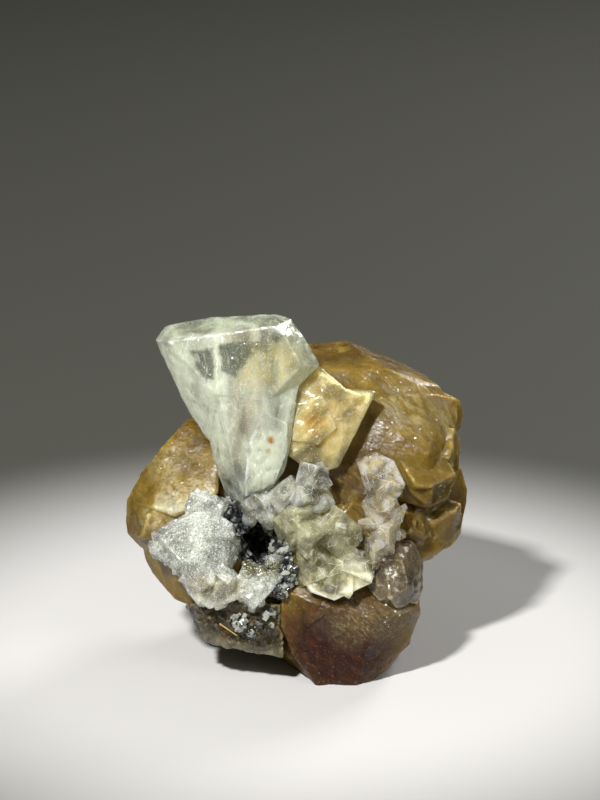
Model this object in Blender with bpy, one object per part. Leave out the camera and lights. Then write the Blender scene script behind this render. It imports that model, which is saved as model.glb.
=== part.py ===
"""Scheelite specimen: honey-brown scheelite crystals grown together, with a clear tapering crystal
leaning out of their front and small pale, sparkling and smoky crystals round a dark cavity.

Every crystal is a convex solid given by its corners. Corners are in millimetres in the frame of the
specimen's front: u to the right, v up along the front and t out of it. The front leans back by LEAN,
and the specimen stands on the flat where it was broken from its rock."""

import math
import random

import bmesh
import bpy
from mathutils import Euler, Vector

MM = 0.001
LEAN = math.radians(18.0)       # how far the front leans back from the vertical
FOOT_T = 3.0                    # where the standing plane meets the front's own plane, mm
GAP = 0.3                       # left between neighbouring pieces, mm
REACH = 60.0                    # half side of the block that planes are cut from, mm
FLOOR_DEPTH = 8.0               # how much of the root is taken off under the standing plane, mm
FLAT = math.radians(1.0)        # faces that meet at less than this are one face
SPECK = 0.001                   # faces smaller than this give no plane of their own, mm2
MERGES = (0.02, 0.012, 0.006, 0.002)    # distances tried for merging doubled corners, mm

# Honey-brown scheelite, from the large upper right crystal round to the foot
UPPER_RIGHT = [
    (0.6, 20.0, 2.4), (4.0, 19.6, 2.8), (9.3, 18.2, 3.2), (10.0, 16.7, 2.6), (11.8, 16.3, 2.2),
    (13.4, 17.1, 1.4), (11.6, 21.2, 3.6), (9.6, 22.5, 3.2), (14.5, 19.6, 0.4), (14.4, 22.6, 0.2),
    (13.6, 25.8, 0.0), (0.8, 28.7, 0.9), (7.9, 28.9, 0.6), (10.7, 27.4, 1.0), (12.8, 27.3, -0.4),
    (0.2, 31.2, -3.6), (4.2, 31.5, -4.0), (8.4, 29.9, -4.6), (11.5, 28.4, -4.6), (-1.5, 29.5, -8.0),
    (4.5, 29.8, -10.0), (11.0, 26.5, -10.0), (14.0, 22.0, -7.5), (13.8, 17.5, -7.0),
    (6.0, 18.0, -12.0), (-2.0, 20.0, -11.0)]
RIGHT_KNOB = [
    (12.6, 27.0, -1.5), (13.6, 26.5, -1.0), (14.8, 25.9, -2.0), (15.1, 24.7, -2.2),
    (14.8, 23.5, -2.0), (13.9, 22.8, 0.0), (12.8, 24.0, 0.6), (12.5, 26.5, -5.0),
    (14.3, 25.0, -5.5), (13.5, 22.0, -5.0)]
RIGHT_LOWER = [
    (8.4, 18.6, 0.6), (12.0, 18.2, 0.2), (14.8, 19.8, -2.0), (15.5, 17.7, -2.6), (15.4, 16.6, -2.2),
    (14.8, 14.2, -1.2), (13.6, 12.8, -0.8), (12.3, 11.9, 0.4), (9.6, 11.0, 1.4), (7.7, 13.5, 2.0),
    (10.5, 15.6, 1.7), (14.8, 19.0, -8.0), (14.9, 14.5, -8.5), (12.5, 11.0, -9.0), (7.4, 10.5, -9.6)]
LEFT = [
    (-9.4, 24.3, -1.6), (-10.7, 23.8, -0.8), (-12.0, 22.4, -0.2), (-13.9, 20.1, 0.0),
    (-15.3, 17.9, -0.4), (-15.9, 16.7, -1.0), (-13.4, 16.2, 2.6), (-11.4, 15.5, 3.5),
    (-9.8, 16.2, 3.8), (-7.6, 17.6, 3.4), (-7.4, 21.0, 1.8), (-7.0, 23.5, -5.0),
    (-11.5, 22.0, -6.5), (-15.0, 17.5, -6.0), (-8.0, 20.0, -10.0)]
LEFT_FLANK = [
    (-15.9, 16.9, -1.0), (-16.1, 15.1, -1.6), (-15.9, 13.7, -1.6), (-14.7, 12.5, -0.6),
    (-13.8, 13.8, 2.4), (-12.6, 12.0, 3.0), (-9.0, 11.0, 3.2), (-13.2, 16.0, 2.5),
    (-9.6, 16.0, 3.4), (-15.2, 16.5, -6.0), (-14.8, 13.0, -5.5), (-8.0, 18.0, -10.0)]
LEFT_LOWER = [
    (-14.5, 12.6, -0.4), (-14.1, 11.3, -0.2), (-13.5, 10.2, 0.0), (-12.4, 8.9, 0.4),
    (-11.5, 7.9, 0.8), (-9.7, 7.2, 1.4), (-6.0, 7.0, 2.4), (-5.5, 12.0, 3.2), (-12.4, 12.4, 3.0),
    (-11.2, 10.4, 3.2), (-14.4, 12.5, -5.0), (-12.0, 9.0, -7.0), (-8.5, 6.0, -10.0),
    (-6.0, 10.0, -11.0)]
CORE = [
    (-8.5, 22.5, -3.0), (-2.0, 24.5, 0.4), (3.0, 23.0, 1.4), (-7.5, 18.0, 1.6), (-6.0, 12.0, 2.4),
    (5.0, 12.0, 2.6), (8.0, 15.0, 2.0), (-4.0, 7.5, 3.0), (6.0, 7.5, 3.6), (-8.0, 22.0, -9.0),
    (4.0, 24.0, -11.0), (-9.0, 12.0, -11.0), (8.0, 12.0, -11.0), (0.0, 7.0, -12.0),
    (8.0, 7.0, -11.5), (-7.0, 6.5, -11.0)]
BOTTOM = [
    (-1.5, 8.8, 5.0), (-1.6, 5.6, 4.6), (-0.4, 2.6, 3.8), (2.0, -0.2, 2.6), (5.1, -0.4, 2.7),
    (7.9, 1.5, 2.0), (9.8, 3.9, 2.2), (10.9, 6.6, 2.6), (10.8, 8.0, 2.0), (1.6, 7.6, 5.9),
    (6.4, 6.4, 5.8), (10.2, 6.9, 4.0), (2.2, 9.6, 4.6), (8.5, 9.6, 3.6), (-3.0, 2.4, -6.2),
    (7.9, 1.0, -1.6), (9.7, 3.0, -8.1), (8.0, 4.3, -12.1), (0.0, 4.6, -13.0)]
FOOT = [
    (-8.7, 3.3, -9.0), (-3.0, 2.4, -6.2), (-7.5, 4.2, -11.8), (0.0, 4.6, -13.0),
    (-10.5, 8.5, -6.0), (-9.5, 7.2, -2.0), (-4.0, 7.0, -2.0), (-2.0, 7.0, -11.0),
    (-9.0, 10.0, -11.0)]
BROWN_UPPER = [
    (1.7, 20.2, 3.4), (5.5, 19.9, 3.0), (6.3, 16.9, 3.6), (2.2, 16.6, 4.0), (1.5, 20.5, 0.5),
    (6.0, 20.5, 0.5), (6.8, 16.0, 0.5), (1.8, 15.8, 0.5)]
BROWN_LOWER = [
    (2.1, 16.4, 4.3), (6.4, 16.6, 3.9), (6.6, 12.6, 4.4), (3.4, 13.2, 4.9), (1.8, 16.8, 1.0),
    (6.9, 16.9, 1.0), (7.0, 12.0, 1.0), (2.8, 12.6, 1.0)]

# Blocks are (centre, radii, number of faces, seed); each is trimmed round an ellipsoid
SCHEELITE_LUMPS = [
    ((5.0, 15.0, -11.0), (5.2, 6.4, 3.6), 9, 11), ((-5.0, 17.0, -10.0), (4.6, 5.2, 3.2), 9, 12),
    ((-1.5, 9.5, -11.5), (5.0, 3.6, 2.8), 9, 13), ((1.5, 25.0, -9.5), (4.4, 3.6, 2.6), 9, 14),
    ((11.6, 22.6, -6.2), (2.4, 3.1, 2.7), 9, 15), ((12.2, 16.6, -5.4), (2.2, 2.7, 3.0), 9, 16),
    ((-12.3, 17.8, -4.2), (2.6, 3.2, 2.7), 9, 17), ((11.2, 19.4, 1.6), (2.4, 1.8, 1.7), 10, 18),
    ((12.6, 14.7, -0.9), (1.9, 2.0, 1.7), 10, 19), ((-10.6, 11.6, -4.2), (2.4, 2.4, 2.6), 9, 20),
    ((13.0, 21.4, 0.0), (1.5, 1.7, 1.6), 9, 21), ((12.4, 24.9, -0.6), (1.7, 1.5, 1.5), 9, 22),
    ((-12.6, 14.4, 0.6), (2.0, 1.8, 1.9), 10, 23), ((9.6, 14.4, 0.8), (1.5, 1.9, 1.8), 9, 24),
    ((-8.4, 22.6, -6.4), (2.6, 2.4, 2.6), 9, 25), ((6.2, 21.6, -10.4), (3.0, 3.2, 2.4), 9, 26)]
CAVITY = [
    (-5.2, 13.6, -1.0), (-3.9, 14.9, -1.0), (-2.6, 13.4, -1.0), (-3.8, 11.2, -1.0),
    (-5.6, 14.1, 7.0), (-3.9, 15.5, 7.0), (-2.2, 13.6, 7.0), (-2.7, 10.9, 7.0), (-4.7, 10.9, 7.0)]

# The clear crystal: a flared flat head, a tapering shaft and a frosted growth on its lower right
CLEAR_HEAD = [
    (-13.0, 31.5, 5.4), (-12.2, 32.8, 4.6), (-8.2, 33.5, 4.8), (-2.1, 33.8, 4.8), (-0.9, 33.4, 5.0),
    (0.5, 31.4, 5.0), (1.7, 29.2, 4.8), (-11.8, 31.3, 7.2), (-2.6, 32.6, 7.6), (-1.5, 31.9, 7.6),
    (0.1, 29.2, 7.0), (-7.7, 26.8, 7.1), (-11.7, 28.6, 4.9), (-10.6, 26.1, 4.4), (-9.7, 24.5, 4.0),
    (-8.2, 22.4, 3.8), (-0.1, 27.5, 5.4), (-3.0, 26.0, 7.0), (-12.4, 31.8, 3.9), (-2.0, 33.0, 3.3),
    (1.2, 29.2, 3.4), (-8.6, 23.4, 2.6), (-0.6, 27.4, 3.2)]
CLEAR_SHAFT = [
    (-8.6, 24.5, 3.6), (-7.2, 26.4, 6.9), (-3.0, 27.0, 7.1), (-0.2, 27.4, 5.6), (-0.4, 26.1, 5.6),
    (-0.9, 22.8, 5.4), (-1.1, 21.2, 5.3), (-1.6, 19.6, 5.0), (-2.5, 18.2, 4.7), (-3.9, 17.3, 4.6),
    (-4.9, 17.0, 4.4), (-5.6, 16.0, 3.2), (-6.5, 17.1, 3.1), (-7.5, 19.6, 3.3), (-8.2, 22.4, 3.7),
    (-6.6, 24.2, 6.7), (-6.2, 20.6, 5.9), (-5.0, 17.6, 5.2), (-1.9, 21.4, 6.3), (-0.8, 24.5, 3.2),
    (-1.4, 20.0, 3.0), (-6.4, 16.6, 2.4), (-7.9, 23.0, 2.6), (-0.6, 27.2, 3.3)]
CLEAR_GROWTH = [
    (-4.9, 17.4, 5.5), (-2.4, 18.6, 5.7), (-1.2, 21.4, 6.1), (-1.2, 24.0, 6.3), (-3.4, 25.0, 7.3),
    (-4.6, 22.0, 7.1), (-4.9, 19.0, 6.4), (-4.8, 17.2, 3.4), (-2.2, 18.6, 3.6), (-1.3, 24.0, 4.0)]
YELLOW_BODY = [
    (-0.9, 26.9, 4.4), (0.0, 27.2, 4.6), (4.2, 26.9, 4.4), (6.8, 26.8, 4.1), (3.4, 20.1, 4.7),
    (2.3, 19.8, 4.9), (0.2, 20.3, 5.1), (-1.2, 21.3, 4.8), (2.2, 25.9, 5.5), (6.2, 26.2, 1.8),
    (3.0, 20.0, 2.0), (-1.0, 21.2, 2.0), (-0.8, 26.6, 2.0)]
YELLOW_WEDGE = [
    (1.8, 29.0, 3.9), (-0.2, 27.3, 4.8), (4.2, 26.9, 4.4), (3.1, 27.7, 4.1), (0.4, 26.4, 5.0),
    (3.0, 26.4, 4.9), (1.4, 28.6, 1.8), (3.8, 26.8, 2.0), (-0.4, 26.6, 2.0)]
YELLOW_STEP = [
    (-1.0, 22.6, 5.3), (1.6, 22.2, 5.7), (3.2, 23.6, 5.5), (1.9, 26.4, 5.6), (-0.4, 25.6, 5.2),
    (-0.8, 22.4, 3.6), (3.0, 23.2, 3.4), (1.6, 26.0, 3.4)]

SMOKY_DOME = [
    (6.6, 12.4, 4.0), (9.0, 13.3, 3.6), (10.3, 13.0, 3.0), (11.1, 11.2, 2.8), (11.1, 8.9, 3.0),
    (10.6, 7.5, 3.4), (9.2, 6.8, 4.2), (6.8, 8.0, 4.8), (6.1, 9.9, 4.8), (7.6, 11.6, 5.4),
    (9.2, 11.4, 5.3), (9.8, 9.2, 5.4), (8.2, 8.2, 5.8), (6.4, 12.0, 1.0), (10.2, 12.4, 0.6),
    (10.6, 8.0, 0.8), (7.0, 7.6, 1.2)]
PALE_RIGHT_LUMPS = [
    ((0.4, 14.4, 4.8), (2.3, 1.8, 2.0), 9, 41), ((3.2, 14.2, 5.0), (2.0, 1.8, 1.8), 9, 42),
    ((1.6, 11.6, 4.6), (2.4, 1.8, 1.7), 9, 43)]
PALE_SHELL = [
    (1.2, 12.4, 5.2), (4.9, 12.8, 5.5), (6.8, 11.0, 5.3), (6.4, 9.6, 6.0), (3.1, 8.1, 6.6),
    (1.0, 8.8, 6.2), (0.3, 9.8, 5.6), (3.6, 10.8, 6.9), (1.0, 12.4, 3.4), (6.2, 11.6, 3.4),
    (5.6, 9.2, 4.4), (1.2, 9.2, 4.0)]
GREY_UPPER_LUMPS = [
    ((0.9, 18.9, 4.8), (1.4, 1.5, 1.5), 9, 51), ((-0.9, 17.1, 4.7), (1.9, 1.5, 1.6), 9, 52),
    ((-3.2, 16.4, 4.4), (1.6, 1.5, 1.6), 9, 53), ((1.4, 16.7, 4.3), (1.5, 1.4, 1.5), 9, 54)]
WHITE_PLATE = [
    (5.2, 20.6, 3.4), (6.7, 21.3, 3.6), (8.5, 20.5, 3.9), (9.5, 18.4, 4.2), (9.0, 17.4, 4.4),
    (7.7, 16.6, 4.5), (6.2, 17.5, 4.4), (6.8, 19.2, 4.7), (5.2, 20.4, 2.0), (8.6, 20.2, 2.2),
    (9.2, 17.6, 2.4), (6.4, 17.2, 2.4)]
WHITE_LUMPS = [
    ((7.0, 16.1, 4.0), (1.25, 1.7, 1.4), 9, 61), ((7.6, 13.9, 4.2), (1.25, 1.7, 1.3), 9, 62),
    ((6.9, 12.1, 4.5), (1.1, 1.5, 1.2), 9, 63)]
SPARKLING_LUMPS = [
    ((-9.0, 13.0, 4.0), (3.5, 3.4, 2.4), 15, 71), ((-8.3, 15.9, 3.8), (1.8, 1.5, 1.8), 11, 72),
    ((-11.8, 12.9, 3.2), (1.3, 1.6, 1.6), 9, 73), ((-4.3, 9.4, 4.6), (1.9, 1.5, 1.5), 9, 74),
    ((-3.0, 10.4, 4.4), (1.3, 1.1, 1.1), 9, 75)]
SPARKLING_SHELL = [
    (-10.8, 10.6, 4.4), (-10.1, 8.5, 4.7), (-8.2, 7.2, 5.1), (-5.6, 8.1, 5.3), (-5.0, 9.7, 5.3),
    (-7.0, 11.2, 6.0), (-9.0, 9.8, 5.9), (-10.4, 10.6, 2.4), (-8.2, 8.0, 2.6), (-5.2, 9.4, 2.8)]
LOWER_LEFT_BLOCK = [
    (-10.4, 7.2, 1.5), (-9.0, 4.4, 1.8), (-8.7, 4.0, 1.0), (-7.9, 3.8, 2.6), (-6.1, 4.0, 3.6),
    (-4.4, 3.4, 3.6), (-1.6, 2.7, 3.8), (-1.7, 7.4, 4.6), (-5.5, 7.6, 4.6), (-9.3, 7.4, 3.4),
    (-9.5, 7.0, -1.5), (-2.0, 7.0, -1.0), (-3.0, 3.2, 0.0), (-8.5, 4.2, -1.0)]
DARK_LUMPS = [
    ((-6.3, 15.2, 3.7), (1.1, 1.6, 1.4), 9, 81), ((-4.9, 14.9, 3.6), (1.3, 1.0, 1.4), 9, 82),
    ((-1.3, 12.6, 3.6), (1.2, 1.5, 1.5), 9, 83), ((-0.9, 10.9, 3.8), (1.3, 1.4, 1.5), 9, 84),
    ((-1.7, 9.2, 4.4), (1.3, 1.2, 1.2), 9, 85), ((-3.2, 14.6, 3.4), (1.8, 0.9, 1.2), 9, 86)]


def place(corner):
    """A corner in the frame of the leaning front, as a point with Z up."""
    u, v, t = corner
    back = v * math.sin(LEAN) - t * math.cos(LEAN)
    up = v * math.cos(LEAN) + (t - FOOT_T) * math.sin(LEAN)
    return Vector((u, back, up))


def hull(corners):
    """The convex solid round some corners, as a bmesh."""
    shape = bmesh.new()
    for corner in corners:
        shape.verts.new(corner)
    found = bmesh.ops.convex_hull(shape, input=shape.verts)
    spare = {item for item in found["geom_interior"] + found["geom_unused"]
             if isinstance(item, bmesh.types.BMVert)}
    bmesh.ops.delete(shape, geom=list(spare), context="VERTS")
    bmesh.ops.recalc_face_normals(shape, faces=shape.faces)
    return shape


def trimmed(planes):
    """The corners of the convex solid that lies behind all of these (point, normal) planes."""
    shape = bmesh.new()
    bmesh.ops.create_cube(shape, size=2.0 * REACH)
    for point, normal in planes:
        everything = shape.verts[:] + shape.edges[:] + shape.faces[:]
        cut = bmesh.ops.bisect_plane(shape, geom=everything, dist=1e-5, plane_co=point,
                                     plane_no=normal, clear_outer=True)
        rim = [item for item in cut["geom_cut"] if isinstance(item, bmesh.types.BMEdge)]
        if rim:
            bmesh.ops.holes_fill(shape, edges=rim)
    corners = [vertex.co.copy() for vertex in shape.verts]
    shape.free()
    return corners


def grown(corners, margin):
    """The same crystal with every face moved out by a margin."""
    shape = hull(corners)
    bmesh.ops.dissolve_limit(shape, angle_limit=FLAT, verts=shape.verts, edges=shape.edges)
    planes = [(face.calc_center_median() + face.normal * margin, face.normal.copy())
              for face in shape.faces if face.calc_area() > SPECK]
    shape.free()
    return trimmed(planes)


def block(centre, radii, faces, seed):
    """A stubby crystal: three pairs of faces and some more, trimmed round an ellipsoid."""
    draw = random.Random(seed)
    turn = Euler([draw.uniform(0.0, math.pi) for _ in range(3)]).to_matrix()
    normals = [turn @ Vector(axis) * sign
               for axis in ((1, 0, 0), (0, 1, 0), (0, 0, 1)) for sign in (1, -1)]
    while len(normals) < faces:
        extra = Vector([draw.gauss(0.0, 1.0) for _ in range(3)]).normalized()
        normals.append(extra)
    planes = []
    for normal in normals:
        reach = math.sqrt(sum((radius * part) ** 2 for radius, part in zip(radii, normal)))
        planes.append((Vector(centre) + normal * reach * draw.uniform(0.84, 0.98), normal))
    return trimmed(planes)


def crystals(outlines=(), lumps=()):
    """All crystals of one piece, as lists of placed corners."""
    shapes = list(outlines) + [block(*lump) for lump in lumps]
    return [[place(corner) for corner in corners] for corners in shapes]


def solid(name, corners):
    """A mesh object of one convex crystal."""
    shape = hull(corners)
    mesh = bpy.data.meshes.new(name)
    shape.to_mesh(mesh)
    shape.free()
    body = bpy.data.objects.new(name, mesh)
    bpy.context.collection.objects.link(body)
    return body


def combine(body, tools, operation):
    """Joins tools to a body or takes them away, all at once, and removes the tools."""
    group = bpy.data.collections.new("tools")
    bpy.context.scene.collection.children.link(group)
    for tool in tools:
        group.objects.link(tool)
    step = body.modifiers.new("step", "BOOLEAN")
    step.operand_type = "COLLECTION"
    step.collection = group
    step.operation = operation
    step.solver = "EXACT"
    bpy.context.view_layer.update()
    evaluated = body.evaluated_get(bpy.context.evaluated_depsgraph_get())
    result = bpy.data.meshes.new_from_object(evaluated)
    body.modifiers.clear()
    body.data = result
    for tool in tools:
        bpy.data.objects.remove(tool)
    bpy.data.collections.remove(group)


def touches(first, second):
    """Whether the boxes round two lists of corners meet."""
    return all(min(a[i] for a in first) < max(b[i] for b in second)
               and min(b[i] for b in second) < max(a[i] for a in first) for i in range(3))


def keep_largest(body):
    """Drops the splinters that a cut leaves beside the main island."""
    shape = bmesh.new()
    shape.from_mesh(body.data)
    islands = []
    unseen = set(shape.verts)
    while unseen:
        island = {unseen.pop()}
        front = list(island)
        while front:
            vertex = front.pop()
            for edge in vertex.link_edges:
                other = edge.other_vert(vertex)
                if other in unseen:
                    unseen.discard(other)
                    island.add(other)
                    front.append(other)
        islands.append(island)
    islands.sort(key=lambda island: -sum(face.calc_area() for face in shape.faces
                                         if face.verts[0] in island))
    spare = [vertex for island in islands[1:] for vertex in island]
    bmesh.ops.delete(shape, geom=spare, context="VERTS")
    shape.to_mesh(body.data)
    shape.free()


def tidy(body):
    """Merges the near-double corners that joins leave, as far as the piece stays one closed body,
    and splits the faces into triangles."""
    for distance in MERGES:
        shape = bmesh.new()
        shape.from_mesh(body.data)
        bmesh.ops.remove_doubles(shape, verts=shape.verts, dist=distance)
        bmesh.ops.dissolve_degenerate(shape, edges=shape.edges, dist=distance / 2.0)
        bmesh.ops.triangulate(shape, faces=shape.faces)
        closed = all(len(edge.link_faces) == 2 for edge in shape.edges)
        if closed:
            shape.to_mesh(body.data)
        shape.free()
        if closed:
            return


def piece(name, own, neighbours, colour, roughness):
    """One node: its crystals fused, clear of the crystals that were made before it."""
    body = solid(name, own[0])
    combine(body, [solid("part", corners) for corners in own[1:]], "UNION")
    cutters = [corners for corners in neighbours
               if any(touches(corners, mine) for mine in own)]
    combine(body, [solid("room", corners) for corners in cutters], "DIFFERENCE")
    keep_largest(body)
    tidy(body)
    body.data.materials.clear()
    body.data.materials.append(finish(name, colour, roughness))
    return body


def finish(name, colour, roughness):
    """A plain mineral finish of one colour."""
    material = bpy.data.materials.new(name)
    material.use_nodes = True
    shader = material.node_tree.nodes["Principled BSDF"]
    shader.inputs["Base Color"].default_value = (*colour, 1.0)
    shader.inputs["Roughness"].default_value = roughness
    shader.inputs["Metallic"].default_value = 0.0
    return material


def below_floor():
    """The block of rock under the standing plane."""
    return [Vector((x, y, z)) for x in (-REACH, REACH) for y in (-REACH, REACH)
            for z in (-FLOOR_DEPTH, 0.0)]


def settle(bodies):
    """Brings the middle of the foot of the whole box to the origin, in metres."""
    spots = [vertex.co for body in bodies for vertex in body.data.vertices]
    low = Vector([min(spot[i] for spot in spots) for i in range(3)])
    high = Vector([max(spot[i] for spot in spots) for i in range(3)])
    foot = Vector(((low.x + high.x) / 2.0, (low.y + high.y) / 2.0, low.z))
    for body in bodies:
        for vertex in body.data.vertices:
            vertex.co = (vertex.co - foot) * MM


def build():
    """The whole specimen, from the scheelite out to the small crystals on its front."""
    for old in list(bpy.data.objects):
        bpy.data.objects.remove(old)
    pieces = [
        ("scheelite_mass",
         crystals([UPPER_RIGHT, RIGHT_KNOB, RIGHT_LOWER, LEFT, LEFT_FLANK, LEFT_LOWER, CORE,
                   BOTTOM, FOOT, BROWN_UPPER, BROWN_LOWER], SCHEELITE_LUMPS),
         (0.36, 0.20, 0.06), 0.35),
        ("clear_crystal", crystals([CLEAR_HEAD, CLEAR_SHAFT, CLEAR_GROWTH]),
         (0.72, 0.78, 0.72), 0.15),
        ("yellow_crystal", crystals([YELLOW_BODY, YELLOW_WEDGE, YELLOW_STEP]),
         (0.62, 0.47, 0.19), 0.25),
        ("smoky_crystal", crystals([SMOKY_DOME]), (0.20, 0.15, 0.10), 0.2),
        ("pale_crystals_right", crystals([PALE_SHELL], PALE_RIGHT_LUMPS), (0.52, 0.53, 0.33), 0.2),
        ("grey_crystals_upper", crystals([], GREY_UPPER_LUMPS), (0.50, 0.52, 0.40), 0.2),
        ("white_crystal_chain", crystals([WHITE_PLATE], WHITE_LUMPS), (0.66, 0.66, 0.58), 0.25),
        ("sparkling_crystals_left", crystals([SPARKLING_SHELL], SPARKLING_LUMPS),
         (0.60, 0.63, 0.55), 0.2),
        ("lower_left_block", crystals([LOWER_LEFT_BLOCK]), (0.24, 0.22, 0.14), 0.35),
        ("dark_grains", crystals([], DARK_LUMPS), (0.03, 0.03, 0.03), 0.4)]
    cavity = [place(corner) for corner in CAVITY]
    standing = [cavity, below_floor()]
    bodies = []
    for name, own, colour, roughness in pieces:
        bodies.append(piece(name, own, standing, colour, roughness))
        standing += [grown(corners, GAP) for corners in own]
    settle(bodies)


build()
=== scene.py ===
"""Scheelite specimen: the finish of its crystals, its stage and its camera.

Places are given in millimetres in the frame of the specimen's leaning front: u to the right, v up
along the front and t out of it. place() turns them into points of the model, in metres."""

import math
import random

import bpy
import numpy as np
from mathutils import Euler, Matrix, Vector


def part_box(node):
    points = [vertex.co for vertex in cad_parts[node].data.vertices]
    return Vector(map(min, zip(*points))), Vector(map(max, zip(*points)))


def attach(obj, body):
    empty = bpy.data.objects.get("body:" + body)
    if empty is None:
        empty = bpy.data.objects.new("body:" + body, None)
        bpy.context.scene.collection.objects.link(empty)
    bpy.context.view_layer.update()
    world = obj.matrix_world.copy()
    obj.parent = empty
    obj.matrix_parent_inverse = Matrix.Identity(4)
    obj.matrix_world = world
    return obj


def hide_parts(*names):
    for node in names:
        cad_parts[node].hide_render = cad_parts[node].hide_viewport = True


bl_info = {
    "name": "Scheelite specimen",
    "version": (1, 0, 0),
    "blender": (4, 5, 0),
    "location": "3D View > Sidebar > Specimen",
    "description": "Builds a scheelite specimen with its clear, yellow and small crystals",
    "category": "Object",
}

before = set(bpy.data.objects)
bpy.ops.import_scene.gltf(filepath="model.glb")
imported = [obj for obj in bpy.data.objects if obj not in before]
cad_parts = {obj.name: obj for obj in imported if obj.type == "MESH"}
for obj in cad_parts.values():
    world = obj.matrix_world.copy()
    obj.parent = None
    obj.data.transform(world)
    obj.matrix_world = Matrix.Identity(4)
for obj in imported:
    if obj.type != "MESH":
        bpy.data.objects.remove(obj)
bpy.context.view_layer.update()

MM = 0.001
LEAN = math.radians(18.0)       # how far the specimen's front leans back
FOOT_T = 3.0                    # where the surface it stands on meets the front's plane, mm
PIXEL = 0.0925                  # one pixel of the photo on the specimen, mm
MIDDLE_PX = 300.0               # the photo's column where u is 0
FOOT_PX = 682.0                 # the photo's row where v is 0
CENTRE_PX = 400.0               # the photo's middle row
MIDDLE_V = 18.0                 # the height that the lights face, mm
OPAQUE = 0.05                   # the transmission of what isn't see-through

# The clear crystal's outermost corners, which tie the front's frame to the model
CLEAR_LEFT_U = -13.0
CLEAR_TOP = (-2.1, 33.8, 4.8)
CLEAR_BACK = (-2.0, 33.0, 3.3)


def leaning(u, v, t):
    """A point of the leaning front with Z up, in millimetres."""
    back = v * math.sin(LEAN) - t * math.cos(LEAN)
    up = v * math.cos(LEAN) + (t - FOOT_T) * math.sin(LEAN)
    return Vector((u, back, up))


CLEAR_LOW, CLEAR_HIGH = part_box("clear_crystal")
SHIFT = Vector((CLEAR_LEFT_U * MM - CLEAR_LOW[0],
                leaning(*CLEAR_BACK).y * MM - CLEAR_HIGH[1],
                leaning(*CLEAR_TOP).z * MM - CLEAR_HIGH[2]))


def place(u, v, t):
    """A point of the leaning front, as a point of the model in metres."""
    return leaning(u, v, t) * MM - SHIFT


def front_of(points):
    """The u, v and t of many points of the model, in millimetres."""
    spots = (points + np.array(SHIFT)) / MM
    back, up = spots[:, 1], spots[:, 2] + FOOT_T * math.sin(LEAN)
    v = back * math.sin(LEAN) + up * math.cos(LEAN)
    t = up * math.sin(LEAN) - back * math.cos(LEAN)
    return np.stack((spots[:, 0], v, t), axis=1)


def linear(code):
    """An sRGB hex colour as linear red, green, blue and alpha."""
    parts = [int(code[i:i + 2], 16) / 255.0 for i in (1, 3, 5)]
    return tuple(c / 12.92 if c <= 0.04045 else ((c + 0.055) / 1.055) ** 2.4
                 for c in parts) + (1.0,)


class StageSizes(bpy.types.PropertyGroup):
    """The surface, the lights and the camera."""
    floor_radius: bpy.props.FloatProperty(
        name="Floor radius", description="Radius of the pale surface", default=0.40, unit="LENGTH")
    # The pale and dark radii and the shade colour paint shade into the floor's colour, as if a lamp
    # lit only its middle
    floor_pale: bpy.props.FloatProperty(
        name="Pale radius", description="Where the pale surface starts to fall into shade",
        default=0.024, unit="LENGTH")
    floor_dark: bpy.props.FloatProperty(
        name="Dark radius", description="Where the surface is as dark as the room",
        default=0.060, unit="LENGTH")
    floor_colour: bpy.props.StringProperty(
        name="Floor colour", description="sRGB hex colour of the surface", default="#B4B2B0")
    painted_shade_colour: bpy.props.StringProperty(
        name="Far colour", description="sRGB hex colour of the surface in shade", default="#3D3D37")
    room_colour: bpy.props.StringProperty(
        name="Room colour", description="sRGB hex colour of the room behind", default="#58584F")
    key_power: bpy.props.FloatProperty(
        name="Key light", description="Power of the small bright light", default=3.6, unit="POWER")
    fill_power: bpy.props.FloatProperty(
        name="Fill light", description="Power of the large soft light", default=0.75, unit="POWER")
    back_power: bpy.props.FloatProperty(
        name="Back light", description="Power of the light behind", default=1.4, unit="POWER")
    distance: bpy.props.FloatProperty(
        name="Camera distance", description="From the front's middle to the camera", default=0.260,
        unit="LENGTH")
    field: bpy.props.FloatProperty(
        name="Field", description="Height of the view at the specimen", default=0.074,
        unit="LENGTH")


class CrystalSizes(bpy.types.PropertyGroup):
    """How fine the crystals are made, and how far their skins go."""
    mass_cell: bpy.props.FloatProperty(
        name="Scheelite cell", description="Finest detail of the scheelite's surface",
        default=0.00012, unit="LENGTH", precision=5)
    fine_cell: bpy.props.FloatProperty(
        name="Crystal cell", description="Finest detail of the other crystals' surfaces",
        default=0.00009, unit="LENGTH", precision=5)
    small_cell: bpy.props.FloatProperty(
        name="Small crystal cell", description="Finest detail of the small crystals' surfaces",
        default=0.000055, unit="LENGTH", precision=6)
    edge: bpy.props.FloatProperty(
        name="Worn edge", description="Width of the worn edges of the small crystals",
        default=0.00008, unit="LENGTH", precision=6)
    swell: bpy.props.FloatProperty(
        name="Swell", description="How far a skin grows to meet its neighbours",
        default=0.00016, unit="LENGTH", precision=5)
    grain: bpy.props.FloatProperty(
        name="Grain", description="Size of the grains round the pit", default=0.00034,
        unit="LENGTH", precision=5)


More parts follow.
